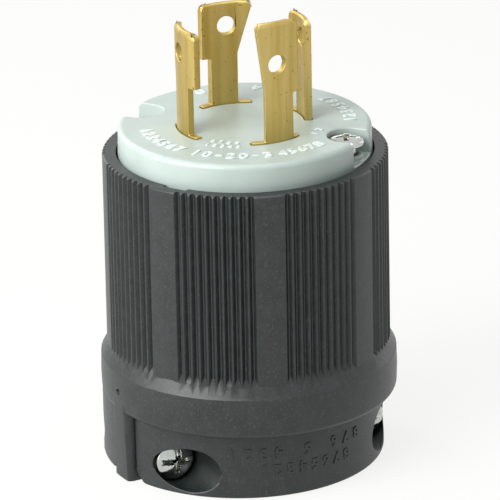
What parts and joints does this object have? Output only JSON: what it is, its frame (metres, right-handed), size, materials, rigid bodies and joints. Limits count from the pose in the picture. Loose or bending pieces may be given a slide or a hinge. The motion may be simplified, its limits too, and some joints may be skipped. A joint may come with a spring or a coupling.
{
  "type": "locking power plug",
  "caption": "Round twist-lock power plug with curved hooked brass blades on a pale face, a ribbed dark grip shell and a screwed two-part cord clamp.",
  "frame": {"origin": "on the plug axis, in the plane that the clamp halves and the shell's two posts stand on", "axes": "+Z along the plug axis towards the blades, +X through one of the shell's two clamp posts, -Y towards the clamp half with the screw heads"},
  "size_m": [0.059, 0.059, 0.0935],
  "materials": {
    "black_nylon": "finely grained dark charcoal moulded nylon",
    "pale_nylon": "smooth semi-gloss pale grey-green moulded nylon",
    "grey_insulator": "plain grey moulded thermoset",
    "brass": "satin rolled and stamped brass",
    "zinc_steel": "bright zinc-plated steel",
    "green_steel": "green-dyed plated steel"
  },
  "bodies": {
    "root": {"grip_shell": "black_nylon", "blade_face": "pale_nylon", "terminal_housing": "grey_insulator", "terminal_cover": "grey_insulator", "blade_x": "brass", "blade_y": "brass", "blade_z": "brass", "blade_ground": "brass", "wire_clamp_x": "brass", "wire_clamp_y": "brass", "wire_clamp_z": "brass", "wire_clamp_ground": "brass", "power_terminal_screws": "brass", "ground_terminal_screw": "green_steel", "assembly_screws": "zinc_steel", "assembly_nuts": "zinc_steel", "cord_clamp_front": "black_nylon", "cord_clamp_rear": "black_nylon", "clamp_screws": "zinc_steel", "clamp_nuts": "zinc_steel"}
  },
  "joints": []
}
